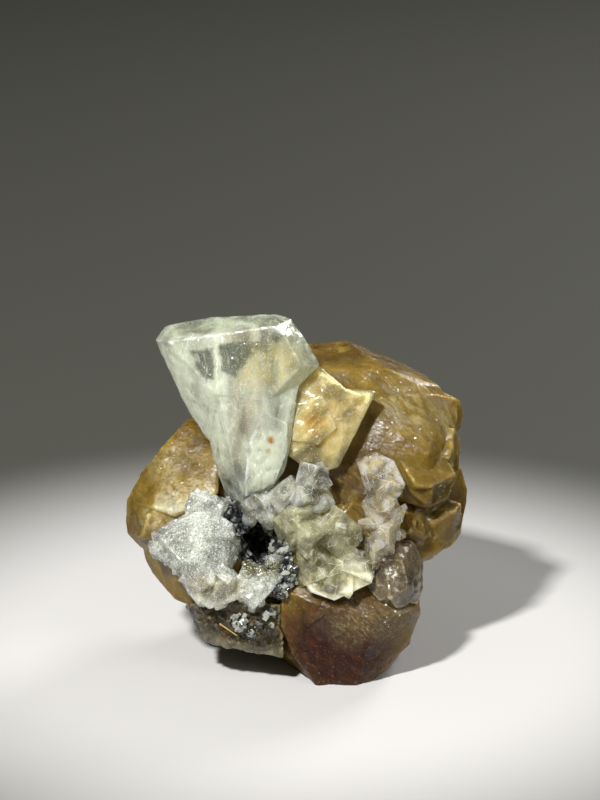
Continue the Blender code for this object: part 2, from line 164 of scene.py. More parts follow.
class CrystalColours(bpy.types.PropertyGroup):
    """sRGB hex colours of the minerals."""
    honey: bpy.props.StringProperty(
        name="Honey", description="Scheelite where light comes through", default="#79621E")
    # Brown is partly the scheelite's own deeper colour and partly painted shade on the upper
    # crystals' top faces
    brown: bpy.props.StringProperty(
        name="Brown", description="Scheelite where it is deep", default="#5A4316")
    # The foot's own dark red-brown, made darker by painted shade under the overhang
    red_brown_and_shade: bpy.props.StringProperty(
        name="Red brown", description="Scheelite at the foot", default="#2A0C02")
    # Frost is the pale etched skin, and partly painted glints on the sparkling clusters
    frost: bpy.props.StringProperty(
        name="Frost", description="Scheelite where its skin is etched", default="#BFB284")
    ice: bpy.props.StringProperty(
        name="Ice", description="The clear crystal's frosted skin", default="#DEE2D0")
    straw: bpy.props.StringProperty(
        name="Straw", description="The yellow crystal", default="#DFCD8E")
    smoke: bpy.props.StringProperty(
        name="Smoke", description="The smoky crystal", default="#5C4F38")
    pale: bpy.props.StringProperty(
        name="Pale", description="The pale crystals right of the pit", default="#BCB890")
    silver: bpy.props.StringProperty(
        name="Silver", description="The sparkling crystals", default="#D8DCCC")
    moss: bpy.props.StringProperty(
        name="Moss", description="The block at the lower left", default="#463610")


def solo(piece):
    """Selects one object alone and makes it active."""
    bpy.ops.object.select_all(action="DESELECT")
    piece.select_set(True)
    bpy.context.view_layer.objects.active = piece


def apply(piece, kind, **settings):
    """Adds a modifier with its settings and applies it."""
    solo(piece)
    step = piece.modifiers.new(kind.title(), kind)
    for name, value in settings.items():
        setattr(step, name, value)
    bpy.ops.object.modifier_apply(modifier=step.name)


def copied(node, name):
    """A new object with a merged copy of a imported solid's mesh."""
    piece = bpy.data.objects.new(name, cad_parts[node].data.copy())
    piece.data.name = name
    bpy.context.scene.collection.objects.link(piece)
    piece.data.materials.clear()
    solo(piece)
    bpy.ops.object.mode_set(mode="EDIT")
    bpy.ops.mesh.select_all(action="SELECT")
    bpy.ops.mesh.remove_doubles(threshold=1e-6)
    bpy.ops.object.mode_set(mode="OBJECT")
    return piece


def joined(pieces, name):
    """Several objects as one, with its own name."""
    bpy.ops.object.select_all(action="DESELECT")
    for piece in pieces:
        piece.select_set(True)
    bpy.context.view_layer.objects.active = pieces[0]
    if len(pieces) > 1:
        bpy.ops.object.join()
    pieces[0].name = name
    pieces[0].data.name = name
    return pieces[0]


def close(piece):
    """Closes every hole in a piece with a face."""
    solo(piece)
    bpy.ops.object.mode_set(mode="EDIT")
    bpy.ops.mesh.select_mode(type="VERT")
    bpy.ops.mesh.select_all(action="DESELECT")
    bpy.ops.mesh.select_non_manifold(use_wire=False, use_multi_face=False,
                                     use_non_contiguous=False, use_verts=False)
    bpy.ops.mesh.fill_holes(sides=0)
    bpy.ops.object.mode_set(mode="OBJECT")


def fused(pieces, name, edge, materials):
    """Closed crystals as one solid with flat faces, whose edges are worn by some width. It takes a
    material for its faces and one for its edges, whose lighter colour is partly wear and partly a
    painted highlight."""
    body, others = pieces[0], bpy.data.collections.new(f"{name}_grown")
    for gem in pieces[1:]:
        others.objects.link(gem)
    apply(body, "BOOLEAN", operation="UNION", operand_type="COLLECTION", collection=others,
          solver="EXACT")
    discard(pieces[1:])
    bpy.data.collections.remove(others)
    for material in materials:
        body.data.materials.append(material)
    apply(body, "BEVEL", width=edge, segments=2, limit_method="ANGLE", angle_limit=0.5,
          material=1)
    close(body)
    return joined([body], name)


def skin(piece, cell, swell, most=190000):
    """Remakes a piece as one even skin, grown a little to meet its neighbours, with no more than
    some number of triangles."""
    apply(piece, "REMESH", mode="VOXEL", voxel_size=cell, use_smooth_shade=True)
    if swell:
        apply(piece, "DISPLACE", strength=swell, mid_level=0.0, direction="NORMAL")
    if triangles(piece) > most:
        apply(piece, "DECIMATE", ratio=most / triangles(piece))


def crisp(piece, degrees=28.0):
    """Shades a piece smooth, apart from its sharp edges."""
    solo(piece)
    bpy.ops.object.shade_smooth_by_angle(angle=math.radians(degrees))


def relief(piece, size, depth, zone="", octaves=2):
    """Raises and sinks a skin by a soft noise, in a zone or all over. Its size and depth are in
    metres."""
    pattern = bpy.data.textures.new(f"{piece.name}_waves", "CLOUDS")
    pattern.noise_scale = size
    pattern.noise_depth = octaves
    apply(piece, "DISPLACE", texture=pattern, texture_coords="LOCAL", strength=depth,
          mid_level=0.5, vertex_group=zone)


def plates(piece, size, depth, zone=""):
    """Breaks a skin into raised plates with grooves between them. Their size and depth are in
    metres."""
    pattern = bpy.data.textures.new(f"{piece.name}_plates", "VORONOI")
    pattern.noise_scale = size
    pattern.noise_intensity = 3.0
    pattern.distance_metric = "DISTANCE"
    pattern.weight_1 = -1.0
    pattern.weight_2 = 1.0
    apply(piece, "DISPLACE", texture=pattern, texture_coords="LOCAL", strength=depth,
          mid_level=0.35, vertex_group=zone)


def triangles(piece):
    """How many triangles a mesh has."""
    return sum(len(face.vertices) - 2 for face in piece.data.polygons)


def points_of(piece):
    """The corners of a mesh, as rows of three numbers."""
    flat = np.empty(len(piece.data.vertices) * 3)
    piece.data.vertices.foreach_get("co", flat)
    return flat.reshape(-1, 3)


def near(spots, front):
    """How much each point lies in any of some soft balls, from 0 to 1. A spot is its place, its
    radius in mm and its strength."""
    weight = np.zeros(len(front))
    for centre, radius, strength in spots:
        away = np.linalg.norm(front - np.array(centre), axis=1) / radius
        soft = np.clip(1.6 - 1.6 * away, 0.0, 1.0)
        weight = np.maximum(weight, soft * soft * (3.0 - 2.0 * soft) * strength)
    return weight


def inside(outline, front, soft):
    """How much each point lies inside an outline seen from the front, from 0 to 1. The outline is
    in the photo's pixels and its edge is soft by some millimetres."""
    corners = np.array([((x - MIDDLE_PX) * PIXEL, (FOOT_PX - y) * PIXEL) for x, y in outline])
    u, v = front[:, 0], front[:, 1]
    # A ragged edge, so that a painted patch doesn't look cut out
    ragged = (0.07 * np.sin(3.1 * v + 1.7 * np.sin(2.3 * u)) + 0.03 * np.sin(11.0 * v + 5.0 * u),
              0.07 * np.sin(2.7 * u + 1.9 * np.sin(3.3 * v)) + 0.03 * np.sin(12.0 * u - 6.0 * v))
    flat = front[:, :2] + np.stack(ragged, axis=1)
    within = np.zeros(len(flat), dtype=bool)
    away = np.full(len(flat), 1e9)
    for first, second in zip(corners, np.roll(corners, -1, axis=0)):
        run = second - first
        along = np.clip(((flat - first) @ run) / (run @ run), 0.0, 1.0)
        away = np.minimum(away, np.linalg.norm(flat - first - along[:, None] * run, axis=1))
        crosses = (first[1] > flat[:, 1]) != (second[1] > flat[:, 1])
        rise = run[1] if abs(run[1]) > 1e-9 else 1e-9
        within ^= crosses & (flat[:, 0] < first[0] + (flat[:, 1] - first[1]) * run[0] / rise)
    return np.clip(0.5 + np.where(within, away, -away) / soft, 0.0, 1.0)


def worn(piece, low, high):
    """How sharply a skin turns outward at each corner, from 0 to 1 between two slopes. The
    materials paint these edges lighter, partly as wear and partly as a painted highlight.
    """
    mesh, spots = piece.data, points_of(piece)
    ends = np.empty(len(mesh.edges) * 2, dtype=np.int32)
    mesh.edges.foreach_get("vertices", ends)
    first, second = ends.reshape(-1, 2).T
    normals = np.empty(len(spots) * 3)
    mesh.vertices.foreach_get("normal", normals)
    normals = normals.reshape(-1, 3)
    run = spots[second] - spots[first]
    run /= np.maximum(np.linalg.norm(run, axis=1, keepdims=True), 1e-9)

    def spread(at_first, at_second):
        return (np.bincount(first, at_first, len(spots))
                + np.bincount(second, at_second, len(spots)))

    count = np.maximum(spread(np.ones(len(first)), np.ones(len(first))), 1.0)
    turn = spread(-(normals[first] * run).sum(1), (normals[second] * run).sum(1)) / count
    turn = 0.5 * turn + 0.5 * spread(turn[second], turn[first]) / count
    return np.clip((turn - low) / (high - low), 0.0, 1.0)


def paint(piece, name, weight):
    """Writes a mask on a piece's corners for its material to read."""
    mask = piece.data.attributes.new(name, "FLOAT", "POINT")
    mask.data.foreach_set("value", weight.astype(np.float32))


def mark(piece, spots=(), outlines=(), least=-99.0):
    """Paints masks on a piece. A mask is a name with its soft balls, or a name with its softness
    in mm and its outlines, which mark only what lies further out of the front than the least."""
    front = front_of(points_of(piece))
    for name, balls in dict(spots).items():
        paint(piece, name, near(balls, front))
    for name, (soft, shapes) in dict(outlines).items():
        weight = np.max([inside(shape, front, soft) for shape in shapes], axis=0)
        paint(piece, name, weight * (front[:, 2] > least))


def zone(piece, name, weight, steps=24):
    """Makes a vertex group from a mask, for a relief to read."""
    group = piece.vertex_groups.new(name=name)
    level = np.round(weight * steps).astype(int)
    for step in range(1, steps + 1):
        members = np.flatnonzero(level == step)
        if len(members):
            group.add(members.tolist(), step / steps, "REPLACE")


def crystal(node, cell, swell, waves, steps, slopes, degrees=28.0):
    """One crystal over its solid: its skin, the soft waves and the growth steps on it, each a size
    and a depth in metres, a mask of its edges between two slopes, and how sharp an edge stays."""
    piece = copied(node, f"{node}_finished")
    skin(piece, cell, swell)
    relief(piece, *waves)
    plates(piece, *steps)
    crisp(piece, degrees)
    paint(piece, "worn", worn(piece, *slopes))
    return piece


def stand_flat(piece):
    """Cuts a piece off flat at the surface it stands on."""
    solo(piece)
    bpy.ops.object.mode_set(mode="EDIT")
    bpy.ops.mesh.select_all(action="SELECT")
    bpy.ops.mesh.bisect(plane_co=(0.0, 0.0, 0.0), plane_no=(0.0, 0.0, 1.0), clear_inner=True,
                        threshold=1e-7)
    bpy.ops.object.mode_set(mode="OBJECT")
    close(piece)


def hand_over(piece, node, slot, *materials):
    """Gives a finished piece its materials and its body, and hides the solid that it stands for."""
    for material in materials:
        piece.data.materials.append(material)
    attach(piece, "root")
    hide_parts(node)


def cut_cube(planes):
    """A cube of unit half size with everything outside some planes cut off. A plane is its
    direction and its distance."""
    bpy.ops.object.select_all(action="DESELECT")
    bpy.ops.mesh.primitive_cube_add(size=2.0)
    gem = bpy.context.object
    bpy.ops.object.mode_set(mode="EDIT")
    for side, distance in planes:
        bpy.ops.mesh.select_all(action="SELECT")
        bpy.ops.mesh.bisect(plane_co=side * distance, plane_no=side, use_fill=True,
                            clear_outer=True)
    bpy.ops.object.mode_set(mode="OBJECT")
    return gem


def gems(count, seed):
    """A few stubby broken crystals of unit size."""
    draw = random.Random(seed)
    shapes = []
    for _ in range(count):
        planes = []
        for _ in range(draw.randint(3, 6)):
            side = Vector([draw.gauss(0.0, 1.0) for _ in range(3)]).normalized()
            planes.append((side, draw.uniform(0.68, 1.0)))
        shapes.append(cut_cube(planes))
    return shapes


def dipyramids(count, seed):
    """A few crystals of unit size with eight steep faces, as scheelite grows, and blunt tips."""
    draw = random.Random(seed)
    shapes = []
    for _ in range(count):
        planes = [(Vector((x, y, 0.6 * z)).normalized(), draw.uniform(0.62, 0.80))
                  for x in (-1, 1) for y in (-1, 1) for z in (-1, 1)]
        shapes.append(cut_cube(planes))
    return shapes


def set_down(shape, spot, sizes, turn):
    """A copy of a gem with its own mesh, at a point, with its place in its mesh."""
    mesh = shape.data.copy()
    mesh.transform(Matrix.LocRotScale(Vector(spot), turn, Vector(sizes)))
    gem = bpy.data.objects.new("gem", mesh)
    bpy.context.scene.collection.objects.link(gem)
    return gem


def any_turn(draw):
    """A turn drawn at random."""
    return Euler([draw.uniform(0.0, 2.0 * math.pi) for _ in range(3)]).to_quaternion()


def surface_spots(piece, count, seed, keep=lambda front: np.ones(len(front), dtype=bool)):
    """Points spread over a piece's faces, with the faces' normals, where keep says so."""
    mesh = piece.data
    centres = np.empty(len(mesh.polygons) * 3)
    normals = np.empty(len(mesh.polygons) * 3)
    areas = np.empty(len(mesh.polygons))
    mesh.polygons.foreach_get("center", centres)
    mesh.polygons.foreach_get("normal", normals)
    mesh.polygons.foreach_get("area", areas)
    centres, normals = centres.reshape(-1, 3), normals.reshape(-1, 3)
    areas = areas * keep(front_of(centres))
    draw = np.random.default_rng(seed)
    picked = draw.choice(len(areas), size=count, p=areas / areas.sum())
    return centres[picked], normals[picked]


def crusted(piece, shapes, count, sizes, sink, seed, turn=None, **choice):
    """Small crystals grown on a piece's surface, as objects: turned at random, or all alike but
    for a little."""
    draw = random.Random(seed)
    spots, normals = surface_spots(piece, count, seed, **choice)
    grown = []
    for spot, normal in zip(spots, normals):
        size = sizes[0] + (sizes[1] - sizes[0]) * draw.random() ** 1.6
        stretch = [size * draw.uniform(0.7, 1.3) for _ in range(3)]
        centre = Vector(spot) - Vector(normal) * size * sink
        wobble = Euler([draw.gauss(0.0, 0.12) for _ in range(3)]).to_quaternion()
        grown.append(set_down(draw.choice(shapes), centre, stretch,
                              turn @ wobble if turn else any_turn(draw)))
    return grown


def discard(shapes):
    """Removes the shapes that others were made from."""
    for shape in shapes:
        bpy.data.objects.remove(shape)


def add(tree, kind, inputs=(), **settings):
    """Adds a shader node with its settings. Its inputs are values or other nodes' outputs."""
    made = tree.nodes.new(kind)
    for name, value in settings.items():
        setattr(made, name, value)
    for socket, value in dict(inputs).items():
        if isinstance(value, bpy.types.NodeSocket):
            tree.links.new(value, made.inputs[socket])
        else:
            made.inputs[socket].default_value = value
    return made


def cloud(tree, where, size, low, high, offset=0.0, detail=4.0, most=1.0, mask=None):
    """A soft mask of blotches of some size in mm, from 0 to its most between two noise values, all
    over or only where a mask is painted on the piece. Its offset, in metres, sets it apart from
    other clouds of its size."""
    moved = add(tree, "ShaderNodeVectorMath", {0: where, 1: (offset, 2.0 * offset, 0.0)})
    noise = add(tree, "ShaderNodeTexNoise", {"Vector": moved.outputs[0], "Scale": 1.0 / (size * MM),
                                             "Detail": detail, "Roughness": 0.62})
    blotches = add(tree, "ShaderNodeMapRange", {0: noise.outputs["Fac"], 1: low, 2: high, 4: most})
    if not mask:
        return blotches.outputs[0]
    drawn = add(tree, "ShaderNodeAttribute", attribute_name=mask)
    return add(tree, "ShaderNodeMath", {0: blotches.outputs[0], 1: drawn.outputs["Fac"]},
               operation="MULTIPLY").outputs[0]


def lines_between(tree, where, size, width, strength):
    """A mask of broken thin lines between cells, whose size and line width are in mm."""
    cell = add(tree, "ShaderNodeTexVoronoi", {"Vector": where, "Scale": 1.0 / (size * MM)},
               feature="DISTANCE_TO_EDGE")
    line = add(tree, "ShaderNodeMapRange", {0: cell.outputs["Distance"], 1: 0.0, 2: width / size,
                                            3: strength, 4: 0.0})
    parts = cloud(tree, where, size, 0.45, 0.65, 0.06)
    return add(tree, "ShaderNodeMath", {0: line.outputs[0], 1: parts},
               operation="MULTIPLY").outputs[0]


def bumped(tree, where, plain, rough, cells):
    """Fine relief in the shading, under the gloss and on it: rough noises along the grain, and
    tilted cells that glint in the gloss alone. Each is a size in mm and a height in mm or a
    slope."""
    heights = []
    for size, height in rough:
        noise = add(tree, "ShaderNodeTexNoise", {"Vector": where, "Scale": 1.0 / (size * MM),
                                                 "Detail": 3.0})
        heights.append((noise.outputs[0], height * MM))
    for size, slope in cells:
        cell = add(tree, "ShaderNodeTexVoronoi", {"Vector": plain, "Scale": 1.0 / (size * MM)})
        inner = add(tree, "ShaderNodeVectorMath", {0: plain, 1: cell.outputs["Position"]},
                    operation="SUBTRACT").outputs[0]
        lean = add(tree, "ShaderNodeVectorMath", {0: cell.outputs["Color"], 1: (0.5, 0.5, 0.5)},
                   operation="SUBTRACT").outputs[0]
        plane = add(tree, "ShaderNodeVectorMath", {0: inner, 1: lean}, operation="DOT_PRODUCT")
        heights.append((plane.outputs["Value"], slope))
    normals = []
    for height, distance in heights:
        inputs = {"Height": height, "Distance": distance}
        if normals:
            inputs["Normal"] = normals[-1]
        normals.append(add(tree, "ShaderNodeBump", inputs).outputs[0])
    return normals[len(rough) - 1], normals[-1]


def mineral(name, colour, layers, rough, cells, gloss, through, ior, coat,
            spread=(0.0, 1.0, (1.0, 1.0, 1.0)), level=0.5, lines=(), specks=(), window=None,
            milky=None, solid=None, absorb=None, grain=None):
    """A mineral's material. It takes its colour and the layers over it: a colour, a mask painted
    on the piece or None, and a cloud's size in mm and its low and high values. Then come its fine
    relief, its lowest and highest roughness, its least and most transmission, its IOR, its coat's
    weight and roughness, and how light spreads under its skin: a weight, a distance in mm and its
    share for each colour. Lines and specks aren't see-through: a line is a colour, a size and a
    width in mm and a strength, and a speck is a colour, a size in mm, a cloud's low and high
    values and a strength. The pale lines are partly cracks and partly painted highlight streaks,
    and the specks are partly white flecks and partly painted glints. Painted masks say where it
    is clear, where it is milky and where no light spreads in it. Its inside has a colour and a
    density, and its grain a turn and a length."""
    material = bpy.data.materials.new(name)
    material.use_nodes = True
    tree = material.node_tree
    shader = tree.nodes["Principled BSDF"]
    for socket, value in (("IOR", ior), ("Specular IOR Level", level), ("Coat Weight", coat[0]),
                          ("Coat Roughness", coat[1]), ("Subsurface Weight", spread[0]),
                          ("Subsurface Scale", spread[1] * MM), ("Subsurface Radius", spread[2])):
        shader.inputs[socket].default_value = value
    where = plain = add(tree, "ShaderNodeTexCoord").outputs["Object"]
    if grain:
        turn, length = grain
        where = add(tree, "ShaderNodeMapping", {"Vector": plain, "Rotation": turn,
                                                "Scale": (1.0, 1.0, length)},
                    vector_type="TEXTURE").outputs[0]
    dull = add(tree, "ShaderNodeMapRange", {0: cloud(tree, where, 1.3, 0.35, 0.65, 0.05, 1.5),
                                            3: gloss[0], 4: gloss[1]}).outputs[0]
    light = add(tree, "ShaderNodeMapRange", {0: cloud(tree, where, 1.8, 0.38, 0.62, 0.08, 1.5),
                                             3: through[1], 4: through[0]}).outputs[0]
    for mask, blotches, roughness, clear in ((milky, (0.9, 0.20, 0.45, 0.03, 1.5), 0.4, OPAQUE),
                                             (window, (0.4, 0.28, 0.46, 0.02), 0.05, 0.9)):
        if mask:
            amount = cloud(tree, where, *blotches, mask=mask)
            dull = add(tree, "ShaderNodeMix", {0: amount, 2: dull, 3: roughness}).outputs[0]
            light = add(tree, "ShaderNodeMix", {0: amount, 2: light, 3: clear}).outputs[0]
    tints = [(tint, cloud(tree, where, size, low, high, 0.011 * number, mask=mask))
             for number, (tint, mask, size, low, high) in enumerate(layers)]
    # Pale lines are partly cracks and partly painted highlight streaks; specks are partly white
    # flecks and partly painted glints
    opaque = [(tint, lines_between(tree, where, *values)) for tint, *values in lines]
    opaque += [(tint, cloud(tree, plain, size, low, high, 0.09, 1.0, most))
               for tint, size, low, high, most in specks]
    over = linear(colour)
    for tint, amount in tints + opaque:
        over = add(tree, "ShaderNodeMix", {0: amount, 6: over, 7: linear(tint)},
                   data_type="RGBA").outputs[2]
    for _, amount in opaque:
        light = add(tree, "ShaderNodeMix", {0: amount, 2: light, 3: OPAQUE}).outputs[0]
    below, above = bumped(tree, where, plain, rough, cells)
    for socket, value in (("Base Color", over), ("Roughness", dull), ("Transmission Weight", light),
                          ("Normal", below), ("Coat Normal", above)):
        tree.links.new(value, shader.inputs[socket])
    if solid:
        drawn = add(tree, "ShaderNodeAttribute", attribute_name=solid)
        rest = add(tree, "ShaderNodeMath", {0: 1.0, 1: drawn.outputs["Fac"]}, operation="SUBTRACT")
        tree.links.new(rest.outputs[0], shader.inputs["Subsurface Weight"])
    if absorb:
        depth = add(tree, "ShaderNodeVolumeAbsorption", {"Color": linear(absorb[0]),
                                                         "Density": absorb[1]})
        tree.links.new(depth.outputs[0], tree.nodes["Material Output"].inputs["Volume"])
    return material


class SPECIMEN_OT_stage(bpy.types.Operator):
    """Sets the pale surface, the room, the lights and the camera"""
    bl_idname = "specimen.stage"
    bl_label = "Stage"

    # Each light's place from the specimen's middle and the length of its side, in metres
    LIGHTS = {"key": ((-0.15, -0.24, 0.33), 0.035), "fill": ((0.34, -0.26, 0.22), 0.24),
              "back": ((0.24, 0.30, 0.24), 0.14)}

    def execute(self, context):
        sizes = context.scene.specimen_stage
        self.surface(sizes)
        world = bpy.data.worlds.new("Room")
        context.scene.world = world
        world.use_nodes = True
        room = world.node_tree.nodes["Background"].inputs["Color"]
        room.default_value = linear(sizes.room_colour)
        context.scene.view_settings.view_transform = "Standard"
        for name, (offset, side) in self.LIGHTS.items():
            self.light(name, Vector(offset), side, getattr(sizes, f"{name}_power"))
        self.camera(context, sizes)
        return {"FINISHED"}

    def surface(self, sizes):
        """A round surface, pale near the specimen and with painted shade further off."""
        bpy.ops.object.select_all(action="DESELECT")
        bpy.ops.mesh.primitive_circle_add(vertices=96, radius=sizes.floor_radius, fill_type="NGON")
        floor = bpy.context.object
        floor.name = "floor"
        material = bpy.data.materials.new("Matt board")
        material.use_nodes = True
        tree = material.node_tree
        shader = tree.nodes["Principled BSDF"]
        where = add(tree, "ShaderNodeTexCoord").outputs["Object"]
        # Painted shade: the colour falls from pale to the shade colour away from the specimen
        away = add(tree, "ShaderNodeVectorMath", {0: where}, operation="LENGTH")
        fall = add(tree, "ShaderNodeMapRange", {0: away.outputs["Value"], 1: sizes.floor_pale,
                                                2: sizes.floor_dark},
                   interpolation_type="SMOOTHSTEP")
        shade = add(tree, "ShaderNodeMix", {0: fall.outputs[0], 6: linear(sizes.floor_colour),
                                            7: linear(sizes.painted_shade_colour)}, data_type="RGBA")
        tree.links.new(shade.outputs[2], shader.inputs["Base Color"])
        shader.inputs["Roughness"].default_value = 0.8
        shader.inputs["Specular IOR Level"].default_value = 0.2
        floor.data.materials.append(material)

    def light(self, name, offset, side, power):
        """A square area light that faces the specimen."""
        lamp = bpy.data.lights.new(name, "AREA")
        lamp.size = side
        lamp.energy = power
        holder = bpy.data.objects.new(name, lamp)
        bpy.context.scene.collection.objects.link(holder)
        holder.location = place(0.0, MIDDLE_V, 0.0) + offset
        holder.rotation_euler = offset.to_track_quat("Z", "Y").to_euler()

    def camera(self, context, sizes):
        """A camera that looks straight at the leaning front, as the photo does."""
        lens = bpy.data.cameras.new("Camera")
        lens.lens = lens.sensor_width * sizes.distance / sizes.field
        lens.clip_start = 0.01
        camera = bpy.data.objects.new("Camera", lens)
        context.scene.collection.objects.link(camera)
        away = place(0.0, 0.0, 1.0) - place(0.0, 0.0, 0.0)
        middle_v = (FOOT_PX - CENTRE_PX) * PIXEL
        camera.location = place(0.0, middle_v, 0.0) + away.normalized() * sizes.distance
        camera.rotation_euler = away.to_track_quat("Z", "Y").to_euler()
        context.scene.camera = camera


class SPECIMEN_OT_scheelite(bpy.types.Operator):
    """Makes the honey-brown scheelite crystals that carry the rest"""
    bl_idname = "specimen.scheelite"
    bl_label = "Scheelite mass"

    BUMPY = [((13.4, 20.6, 1.2), 3.6, 1.0), ((13.0, 15.2, 0.6), 4.0, 1.0),
             ((-13.6, 20.4, 0.0), 3.4, 1.0), ((-13.2, 16.0, 1.6), 3.0, 0.8),
             ((5.4, 17.6, 3.4), 3.6, 1.0), ((10.6, 14.0, 2.0), 3.0, 0.8),
             ((0.0, 16.0, -13.0), 9.0, 1.0), ((12.0, 18.0, -7.0), 5.0, 1.0),
             ((-11.0, 16.0, -8.0), 5.0, 1.0)]
    SPARK = [((12.9, 23.7, 1.0), 1.3, 1.0), ((10.8, 22.2, 2.0), 1.8, 1.0),
             ((8.8, 27.6, 1.6), 1.6, 0.9), ((-13.0, 21.4, 1.0), 1.8, 0.8),
             ((-11.6, 19.4, 2.0), 1.6, 0.7), ((12.6, 17.6, 1.4), 1.8, 0.7),
             ((7.6, 7.0, 4.6), 1.8, 0.8), ((0.0, 16.0, -13.0), 5.0, 1.0),
             ((14.0, 12.0, -6.0), 4.0, 1.0)]
    SPOTS = {
        # Brown spots: deeper scheelite, with painted shade on the upper crystals' top faces
        "brown": [((3.5, 31.5, -2.0), 5.0, 1.0), ((9.0, 29.4, -2.5), 4.6, 1.0),
                  ((-9.6, 23.4, 0.0), 2.8, 0.9), ((5.0, 18.5, 3.0), 4.2, 1.0),
                  ((10.8, 14.8, 2.0), 3.6, 0.6), ((6.0, 21.0, 2.6), 2.6, 0.6),
                  ((14.0, 15.0, -1.5), 3.6, 0.5), ((-15.0, 14.0, -0.6), 3.0, 0.7)],
        # Red spots: dark red-brown scheelite at the foot, with painted shade where the underside is
        # out of the light
        "red": [((3.6, 4.0, 3.4), 8.6, 1.0), ((8.0, 4.0, -4.0), 8.0, 0.9),
                ((-5.0, 3.0, -6.0), 7.5, 0.9)],
        # Frost spots: pale etched skin, partly painted glints on the sparkling clusters
        "frost": [((-11.6, 16.8, 2.8), 2.4, 1.0), ((-9.2, 17.2, 3.4), 2.0, 0.8),
                  ((-13.6, 15.0, 1.8), 1.8, 0.7), ((-12.6, 20.4, 1.6), 2.6, 0.5),
                  ((9.8, 25.4, 1.8), 3.6, 0.5), ((13.0, 24.0, 0.6), 2.2, 0.6)],
        # Pit: painted black, painted shade in a hollow whose depth isn't known
        "pit": [((-3.9, 13.1, 1.5), 3.4, 1.6), ((-3.9, 13.1, -1.0), 3.6, 1.6)]}
    OUTLINES = {
        "ledge": (1.5, [[(312, 612), (350, 604), (395, 600), (424, 606), (420, 624), (380, 634),
                         (330, 630)]]),
        "rim": (0.5, [[(155, 509), (174, 512), (187, 507), (215, 492), (214, 486), (187, 499),
                       (174, 504), (158, 502)]])}
    SIDE_U = 12.5               # no crystal stands out of the right side past here, mm
    HOST = (0.5, 0.3, 0.7)      # the turn that the small dipyramids share

    def execute(self, context):
        sizes, colours = context.scene.specimen_sizes, context.scene.specimen_colours
        base = copied("scheelite_mass", "part")
        steps = dipyramids(3, 23)
        grown = crusted(base, steps, count=48, sizes=(0.0008, 0.0018), sink=0.88, seed=31,
                        turn=Euler(self.HOST).to_quaternion(),
                        keep=lambda front: (near(self.BUMPY, front) > 0.3)
                        & (front[:, 0] < self.SIDE_U))
        piece = joined([base] + grown, "scheelite")
        discard(steps)
        skin(piece, sizes.mass_cell, sizes.swell)
        front = front_of(points_of(piece))
        zone(piece, "bumpy", near(self.BUMPY, front))
        zone(piece, "broken", near(self.SPOTS["red"] + self.SPOTS["pit"], front))
        relief(piece, 0.0030, 0.00020, octaves=1)
        plates(piece, 0.0014, 0.00012, "bumpy")
        plates(piece, 0.0020, 0.00040, "broken")
        relief(piece, 0.0012, 0.00024, "broken")
        relief(piece, 0.0006, 0.00006, octaves=3)
        crisp(piece, 18.0)
        stand_flat(piece)
        mark(piece, self.SPOTS, self.OUTLINES, least=0.0)
        paint(piece, "worn", worn(piece, 0.09, 0.22))
        # Tiny chips on the sparkling spots; their cream white is partly broken skin and partly a
        # painted glint
        chips = gems(4, 61)
        glints = crusted(piece, chips, count=240, sizes=(0.00003, 0.00010), sink=0.3, seed=62,
                         keep=lambda front: near(self.SPARK, front) > 0.05)
        for chip in glints:
            paint(chip, "chip", np.ones(len(chip.data.vertices)))
        discard(chips)
        hand_over(joined([piece] + glints, "scheelite"), "scheelite_mass", "scheelite",
                  self.material(colours))
        return {"FINISHED"}

    def material(self, colours):
        """Scheelite: a heavy calcium tungstate, waxy to glassy, and translucent, so that light
        spreads under its skin; broken and etched faces glint."""
        return mineral(
            "Honey scheelite", colours.honey,
            # The lighter colour on sharp edges is partly wear and partly a painted highlight
            [("#6C5520", None, 3.4, 0.42, 0.66), ("#AB9554", "worn", 0.4, 0.30, 0.60),
             # Brown: deeper scheelite, with painted shade on the top faces
             (colours.brown, "brown", 3.0, 0.1, 0.5),
             ("#86702E", None, 1.4, 0.50, 0.72), ("#96844A", None, 0.7, 0.56, 0.76),
             ("#AA9856", None, 0.3, 0.62, 0.78),
             # Red: the foot's dark red-brown, partly painted shade under the overhang
             (colours.red_brown_and_shade, "red", 4.0, 0.0, 0.2), ("#5A2E12", "red", 0.6, 0.50, 0.74),
             ("#5E4C2E", "ledge", 0.8, 0.2, 0.5), ("#85795A", "ledge", 0.22, 0.50, 0.66),
             # Frost: pale etched skin, partly painted glints on the sparkling clusters
             (colours.frost, "frost", 0.5, 0.38, 0.62), ("#B9B48E", "rim", 0.5, 0.2, 0.4),
             # Chip: cream white, partly broken skin and partly a painted glint
             # Pit: near-black painted shade in the hollow
             ("#F0E8CC", "chip", 3.0, -0.5, 0.0), ("#070606", "pit", 3.0, -0.5, 0.1)],
            rough=[(0.7, 0.08), (0.22, 0.04)], cells=[(0.30, 0.5), (0.14, 0.3)],
            gloss=(0.22, 0.42), through=(0.15, 0.45), ior=1.6, coat=(0.14, 0.06),
            spread=(1.0, 2.4, (1.0, 0.78, 0.36)), level=0.12,
            specks=[("#C4B478", 0.13, 0.68, 0.78, 0.5)], milky="red", solid="chip",
            absorb=("#C89C4A", 260.0), grain=((0.0, -0.8, 0.0), 2.2))


